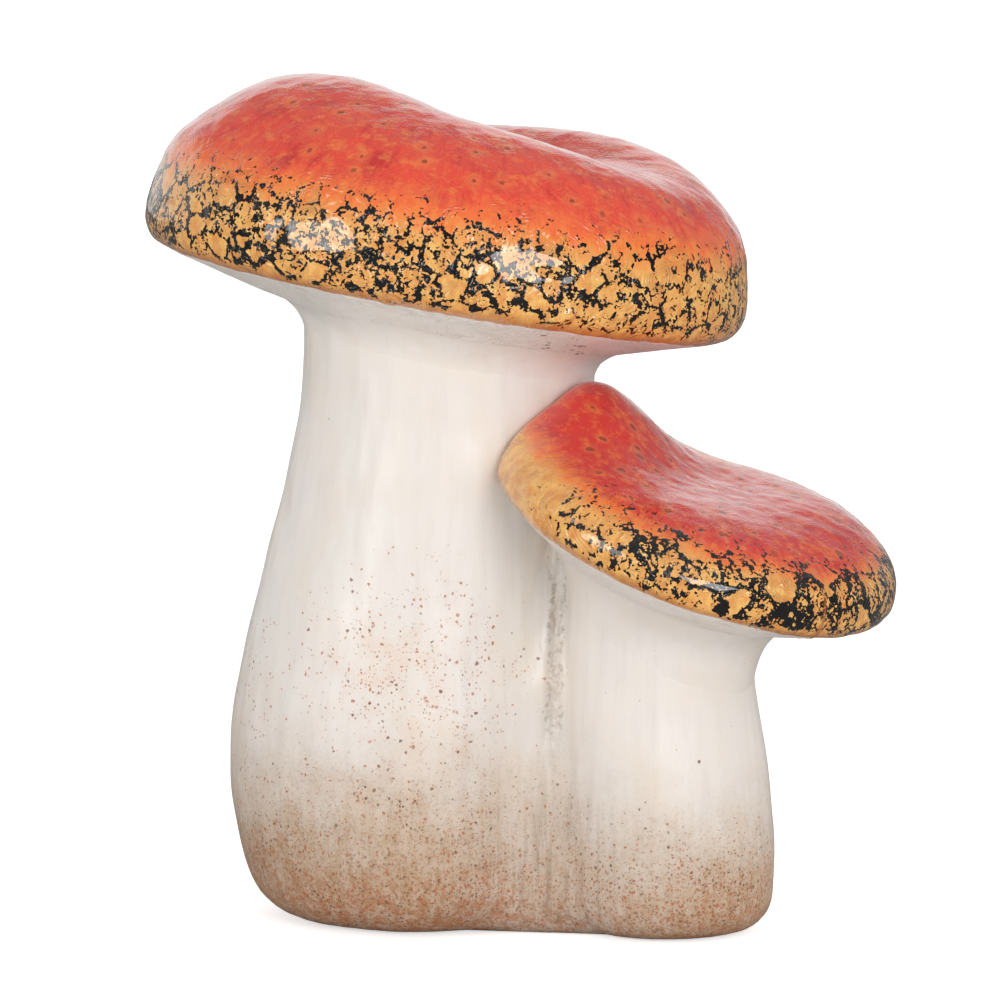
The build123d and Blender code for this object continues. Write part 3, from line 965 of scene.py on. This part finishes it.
def ware_group():
    """Decorated stem: white glaze, rust spatter half-way up, a sponged brown foot, and olive stain with
    painted shade in the creases.
    """
    n, entry, leave = new_group(
        "Stem Decoration", {"Crease": NO_CREASE}, ("White", "Brown", "Rust", "Olive"),
        ("Colour", "Height", "Stain"),
    )
    place = entry["Place"]
    x, y, z = n.split(place)

    def drops(amount, size, *shift):
        return n.group("Spatter", Place=n.shift(place, shift), Amount=amount, Drop=size)["Drops"]

    base = n.group("White Glaze", Place=place, White=entry["White"])
    big = n.noise(place, 14, rough=0.6)
    # Rust spatter: a cloud on the tall stem, left of the middle, and thinner all round
    belt = n.times(n.ramp(z, 24, 45), n.ramp(z, 60, 88, 1, 0), n.ramp(x, -10, 12, 1, 0.03))
    thin = n.times(belt, n.ramp(big, 0.40, 0.62), 0.22)
    near = n.plus(n.vector("DISTANCE", place, (-25, -31, 60)), n.swing(big, 24))
    amount = n.math("MAXIMUM", thin, n.ramp(near, 2, 34, 0.5, 0))
    patches = n.noise(n.shift(place, (17, 3, 29)), 5, rough=0.6)
    peach = n.times(n.ramp(patches, 0.4, 0.65), amount, 0.42)
    colour = n.mix(peach, base["Colour"], (0.78, 0.47, 0.32))
    amount = n.times(amount, n.ramp(patches, 0.38, 0.6, 0.3, 1.35))
    spots = n.times(drops(amount, 0.9, 0, 0, 0), n.ramp(big, 0.35, 0.65, 0.9, 0.6))
    colour = n.mix(spots, colour, entry["Rust"])
    dark_drops = drops(n.times(amount, 0.4), 1, 43, 59, 7)
    colour = n.mix(n.times(dark_drops, 0.85), colour, (0.19, 0.06, 0.035))
    mist = drops(amount, 0.65, 5, 83, 41)
    colour = n.mix(n.times(mist, 0.4), colour, entry["Rust"])
    # Brown foot, thinner between the stems
    edge = n.plus(z, n.swing(big, 26), n.ramp(x, 6, 26, 0, 9))
    middle = n.math("ABSOLUTE", n.minus(x, 9))
    sponge = n.noise(place, 2.4, detail=5, rough=0.7)
    upright = n.noise(n.join(x, y, n.times(z, 0.12)), 1.6, rough=0.6)
    dab = n.plus(sponge, n.swing(upright, 0.8))
    stain = n.times(n.ramp(edge, 10, 57, 1, 0), n.ramp(dab, 0.30, 0.70, 0.74, 1))
    stain = n.times(stain, n.ramp(middle, 5, 28, 0.72, 1))
    colour = n.mix(n.times(stain, 0.88), colour, entry["Brown"])
    warm = n.times(n.ramp(edge, 0, 22, 1, 0), n.ramp(sponge, 0.42, 0.62), 0.55)
    colour = n.mix(warm, colour, entry["Rust"])
    grain = n.ramp(n.noise(n.shift(place, (3, 27, 81)), 0.7, rough=0.65), 0.52, 0.64)
    colour = n.mix(n.times(grain, stain, 0.5), colour, (0.17, 0.095, 0.05))
    # Dark strokes beside the seam
    strokes = n.ramp(n.noise(n.join(x, y, n.times(z, 0.06)), 1.3, rough=0.6), 0.50, 0.66)
    strokes = n.times(strokes, n.ramp(middle, 2, 20, 0.5, 0), n.ramp(z, 4, 46, 1, 0))
    colour = n.mix(strokes, colour, entry["Olive"])
    # Dark grain and rust freckles on the foot, thicker at the right
    right = n.times(n.ramp(x, 10, 45), n.ramp(z, 4, 30, 0.35, 0))
    low = n.times(n.plus(n.ramp(edge, 0, 40, 0.85, 0), right), n.ramp(middle, 3, 22, 0.5, 1))
    dark_grain = n.times(drops(low, 0.85, 29, 13, 3), n.ramp(big, 0.4, 0.6, 0.85, 0.55))
    colour = n.mix(dark_grain, colour, (0.16, 0.08, 0.04))
    for size, share, *shift in (
        (0.85, 0.8, 19, 5, 71), (0.65, 0.75, 61, 23, 9), (0.48, 0.75, 37, 3, 89)
    ):
        colour = n.mix(n.times(drops(low, size, *shift), share), colour, entry["Rust"])
    # Creases: olive stain and painted shade where the stems meet, stronger towards the caps
    crease = n.plus(entry["Crease"], n.swing(sponge, 5))
    crease_stain_and_shade = n.times(n.ramp(crease, 0, 11, 1, 0), n.ramp(z, 45, 80, 0.11, 0.19))
    colour = n.mix(crease_stain_and_shade, colour, entry["Olive"])
    # Dark broken lines on both sides of the worked ridge, and a faint darkening on it: partly olive stain,
    # partly painted shade of the ridge and groove
    worked = n.plus(entry["Crease"], n.swing(sponge, 4.5))
    line = n.ramp(n.math("ABSOLUTE", n.minus(worked, 1.5)), 0.1, 0.8, 0.42, 0)
    line = n.plus(line, n.ramp(worked, 0, 3, 0.10, 0))
    broken = n.noise(n.shift(place, (11, 43, 5)), 1.3, detail=2)
    line = n.times(line, n.ramp(z, 42, 52), n.ramp(z, 78, 90, 1, 0))
    line = n.times(line, n.ramp(broken, 0.45, 0.62, 0.12, 1))
    colour = n.mix(line, colour, entry["Olive"])
    grit = n.times(n.ramp(crease, 0.5, 4, 0.5, 0), n.ramp(z, 20, 50, 0.3, 1))
    colour = n.mix(n.times(drops(grit, 0.7, 7, 31, 57), 0.38), colour, entry["Brown"])
    n.feed(leave["Colour"], colour)
    n.feed(leave["Height"], n.plus(base["Height"], n.times(stain, 0.15)))
    n.feed(leave["Stain"], stain)


def shared_groups():
    """Builds the node groups, once. The last one uses the two before it."""
    if "Stem Decoration" not in bpy.data.node_groups:
        for build in (sponge_group, crown_group, white_group, spatter_group, ware_group):
            build()


# Materials


def new_material(name):
    material = bpy.data.materials.new(name)
    material.use_nodes = True
    return material, Nodes(material.node_tree), material.node_tree.nodes["Principled BSDF"]


def relief(n, height, strength):
    """Normal of a surface with the given heights, in millimetres."""
    return n.fill(n.new("ShaderNodeBump"), Strength=strength, Distance=MM, Height=height)["Normal"]


# Climb over which a crown goes from orange to red, and how red it gets
CROWN_EDGE = pair((13.2, 32.5), (11, 22.5))
CROWN_RED = pair(1.12, 1.34)
PIT_SIZE = pair(0.85, 1.7)
# Climb over which the sponged band thins out, and the size of its large patches
BAND_FADE = pair((17, 33), (12, 27))
BAND_PATCH = pair(6, 7.5)


def cap_material(size, glaze):
    material, n, shader = new_material(f"{size}_cap_glaze")
    at = n.new("ShaderNodeTexCoord").outputs["Object"]
    place = n.fill(
        n.new("ShaderNodeMapping", vector_type="TEXTURE"), Vector=at, Location=NECK[size] * MM,
        Rotation=neck_matrix(size).to_euler(), Scale=(MM, MM, MM),
    )["Vector"]
    climb = n.field("climb")
    low, high = CROWN_EDGE[size]
    crown = n.group(
        "Painted Crown", Place=place,
        Redness=n.ramp(climb, low, high, -0.05, CROWN_RED[size], smooth=False),
        Red=glaze.red if size == "large" else glaze.crimson, Deep_Red=glaze.deep_red, Flame=glaze.flame,
        Orange=glaze.orange, Yellow=glaze.yellow,
        Pit_Level=n.ramp(climb, high - 6, high), Pit_Size=PIT_SIZE[size],
    )
    # Lowest strip of the rim
    uneven = n.noise(place, 5)
    strip = n.ramp(n.plus(climb, n.times(uneven, 3)), 2.2, 5, 1, 0)
    colour = n.mix(n.times(strip, 0.75), crown["Colour"], glaze.rim_brown)
    # Sponged band
    ragged = n.noise(place, 8, detail=4, rough=0.65)
    band = n.field("band")
    thick = n.times(
        n.ramp(n.plus(band, n.swing(ragged, 5)), 0.3, 3.2),
        n.ramp(n.plus(band, n.swing(ragged, 12)), *BAND_FADE[size], 1, 0),
        n.field("sponge"),
    )
    sponge = n.group("Sponge Print", Place=place, Density=thick, Patch=BAND_PATCH[size])
    colour = n.mix(n.times(sponge["Print"], n.ramp(thick, 0.02, 0.25)), colour, glaze.black)
    if size == "small":
        # Mould line, where the glaze ran thin
        x, y, _ = n.split(place)
        away = n.minus(n.times(x, math.sin(MOULD_LINE)), n.times(y, math.cos(MOULD_LINE)))
        away = n.plus(n.math("ABSOLUTE", away), n.swing(uneven, 1.5))
        seam = n.times(n.ramp(away, 0.15, 0.9, 0.8, 0), n.ramp(climb, 8, 15, 1, 0))
        colour = n.mix(n.times(seam, n.ramp(x, 0, 5)), colour, glaze.rim_brown)
    # White underside
    under = n.group("White Glaze", Place=n.scale(at, 1 / MM), White=glaze.white)
    painted = n.ramp(n.plus(climb, n.swing(uneven, 0.9)), 0.35, 0.65)
    peel = n.noise(place, 0.9, rough=0.6)
    lumps = n.noise(n.shift(place, (41, 3, 19)), 3, detail=2, rough=0.5)
    height = n.plus(
        n.times(crown["Height"], 0.09), n.times(peel, 0.06),
        n.times(sponge["Height"], thick, 0.06), n.times(lumps, 0.36),
    )
    n.fill(
        shader, Base_Color=n.mix(painted, under["Colour"], colour), Normal=relief(n, height, 0.75),
        Roughness=n.ramp(painted, 0, 1, 0.42, 0.08, smooth=False),
        Coat_Weight=n.ramp(painted, 0, 1, 0.15, 0.7, smooth=False), Coat_Roughness=0.04,
    )
    return material


def stem_material(name, glaze):
    material, n, shader = new_material(name)
    at = n.new("ShaderNodeTexCoord").outputs["Object"]
    ware = n.group(
        "Stem Decoration", Place=n.scale(at, 1 / MM), Crease=n.field("crease"), White=glaze.white,
        Brown=glaze.brown, Rust=glaze.rust, Olive=glaze.olive,
    )
    n.fill(
        shader, Base_Color=ware["Colour"], Normal=relief(n, n.times(ware["Height"], 0.12), 0.6),
        Roughness=n.ramp(ware["Stain"], 0, 1, 0.36, 0.5, smooth=False),
        Coat_Weight=0.15, Coat_Roughness=0.25,
    )
    return material


# Operators


class MUSHROOM_OT_stems(bpy.types.Operator):
    """Dress the two stems"""

    bl_idname = "mushroom.stems"
    bl_label = "Stems"

    def execute(self, context):
        scene = context.scene
        shared_groups()
        for size, other in zip(SIZES, reversed(SIZES)):
            material = stem_material(f"{size}_stem_glaze", scene.mushroom_glaze)
            build_stem(size, scene.mushroom_shape, material, solid_tree(f"{other}_stem"))
        return {"FINISHED"}


class MUSHROOM_OT_caps(bpy.types.Operator):
    """Dress the two caps"""

    bl_idname = "mushroom.caps"
    bl_label = "Caps"

    def execute(self, context):
        scene = context.scene
        shared_groups()
        for size in SIZES:
            build_cap(size, scene.mushroom_shape, cap_material(size, scene.mushroom_glaze))
        return {"FINISHED"}


class MUSHROOM_OT_slip(bpy.types.Operator):
    """Lay the joining slip under the caps and between the stems"""

    bl_idname = "mushroom.slip"
    bl_label = "Joining slip"

    def execute(self, context):
        scene = context.scene
        shared_groups()
        material = stem_material("joining_slip", scene.mushroom_glaze)
        for size in SIZES:
            build_lute(size, dressed_tree(f"{size}_stem"), dressed_tree(f"{size}_cap"), material)
        walls = [dressed_tree("small_stem"), dressed_tree("small_neck_lute")]
        build_seam([dressed_tree("large_stem")], walls, scene.mushroom_shape, material)
        return {"FINISHED"}


def on_stage(name, data):
    """An object that belongs to the stage."""
    thing = bpy.data.objects.new(name, data)
    bpy.context.scene.collection.objects.link(thing)
    return thing


def soft_box(name, aim, azimuth, elevation, distance, width, height, power):
    """An area lamp that faces the aim. Azimuth 0 is in front, and 90 is at the right."""
    lamp = bpy.data.lights.new(name, "AREA")
    lamp.shape = "ELLIPSE"
    lamp.size = width
    lamp.size_y = height
    lamp.energy = power
    thing = on_stage(name, lamp)
    a = math.radians(azimuth)
    e = math.radians(elevation)
    away = Vector((math.sin(a) * math.cos(e), -math.cos(a) * math.cos(e), math.sin(e)))
    thing.location = aim + away * distance
    thing.rotation_euler = away.to_track_quat("Z", "Y").to_euler()
    return thing


class MUSHROOM_OT_stage(bpy.types.Operator):
    """Set up the camera, the lamps, the floor and the background"""

    bl_idname = "mushroom.stage"
    bl_label = "Stage"

    def execute(self, context):
        scene = context.scene
        settings = scene.mushroom_stage
        scene.view_settings.view_transform = "Standard"
        aim = Vector(settings.aim)
        camera = bpy.data.cameras.new("camera")
        camera.lens = settings.lens
        camera.sensor_width = 36.0
        camera.clip_end = 20.0
        eye = on_stage("camera", camera)
        e = settings.elevation
        eye.location = aim + Vector((0, -math.cos(e), math.sin(e))) * settings.distance
        eye.rotation_euler = (math.pi / 2 - e, 0, 0)
        scene.camera = eye
        soft_box("key_left", aim, -44, 17, 1.1, 0.50, 0.36, settings.key_power)
        soft_box("key_right", aim, 22, 13, 1.1, 0.50, 0.27, settings.key_power * 1.15)
        # Lifts the back, and isn't seen in the gloss
        rear = soft_box("rear", aim, 180, 25, 1.3, 0.9, 0.7, settings.key_power * 0.9)
        rear.visible_glossy = False
        self.floor()
        self.world(scene, settings)
        return {"FINISHED"}

    def floor(self):
        mesh = bpy.data.meshes.new("floor")
        half = 6.0
        corners = [(-half, -half, 0), (half, -half, 0), (half, half, 0), (-half, half, 0)]
        mesh.from_pydata(corners, [], [(0, 1, 2, 3)])
        material, n, shader = new_material("floor")
        path = n.new("ShaderNodeLightPath").outputs
        # The gloss shows the floor darker, as a camera's shade near the table does
        n.fill(
            shader, Base_Color=n.mix(path["Is Glossy Ray"], (0.85, 0.85, 0.85), (0.2, 0.2, 0.2)),
            Roughness=0.9, Emission_Color=(1, 1, 1),
            Emission_Strength=n.times(path["Is Camera Ray"], 0.62),
        )
        mesh.materials.append(material)
        on_stage("floor", mesh)

    def world(self, scene, settings):
        world = bpy.data.worlds.new("studio")
        scene.world = world
        world.use_nodes = True
        n = Nodes(world.node_tree)
        path = n.new("ShaderNodeLightPath").outputs
        x, y, z = n.split(n.new("ShaderNodeTexCoord").outputs["Generated"])
        # Gloss shows a bright wall behind the object, up to about 35 degrees, a grey ceiling and a dim front
        wall = n.times(
            n.ramp(z, 0.42, 0.67, 0.92, 0.0), n.ramp(y, -0.1, 0.45), n.ramp(x, 0.10, 0.45, 1.0, 0.25)
        )
        gloss = n.math("MAXIMUM", wall, n.ramp(z, 0.25, 0.75, 0.12, 0.36))
        seen = n.math("MAXIMUM", path["Is Glossy Ray"], path["Is Transmission Ray"])
        # The light all round is stronger at the sides, and most of all at the right
        sides = n.plus(0.84, n.times(n.math("ABSOLUTE", x), 0.7), n.times(x, 0.6))
        fill = n.times(n.minus(1.0, seen), sides, settings.fill)
        level = n.math("MAXIMUM", n.plus(n.times(seen, gloss), fill), path["Is Camera Ray"])
        n.fill(world.node_tree.nodes["Background"], Color=(1, 1, 1), Strength=level)


class MUSHROOM_PT_panel(bpy.types.Panel):
    """Lists the pieces and their settings"""

    bl_idname = "MUSHROOM_PT_panel"
    bl_label = "Ceramic Mushrooms"
    bl_space_type = "VIEW_3D"
    bl_region_type = "UI"
    bl_category = "Mushrooms"

    def draw(self, context):
        layout = self.layout
        for step in STEPS:
            layout.operator(step.bl_idname)
        for name, group in SETTINGS.items():
            box = layout.box()
            for setting in group.__annotations__:
                box.prop(getattr(context.scene, name), setting)


STEPS = (MUSHROOM_OT_stems, MUSHROOM_OT_caps, MUSHROOM_OT_slip, MUSHROOM_OT_stage)
SETTINGS = {
    "mushroom_shape": MushroomShape, "mushroom_glaze": MushroomGlaze, "mushroom_stage": MushroomStage,
}


def register():
    for name, group in SETTINGS.items():
        bpy.utils.register_class(group)
        setattr(bpy.types.Scene, name, PointerProperty(type=group))
    for step in STEPS:
        bpy.utils.register_class(step)
    bpy.utils.register_class(MUSHROOM_PT_panel)


def unregister():
    bpy.utils.unregister_class(MUSHROOM_PT_panel)
    for step in reversed(STEPS):
        bpy.utils.unregister_class(step)
    for name, group in SETTINGS.items():
        delattr(bpy.types.Scene, name)
        bpy.utils.unregister_class(group)


def main():
    register()
    bpy.ops.mushroom.stems()
    bpy.ops.mushroom.caps()
    bpy.ops.mushroom.slip()
    bpy.ops.mushroom.stage()


if __name__ == "__main__":
    main()
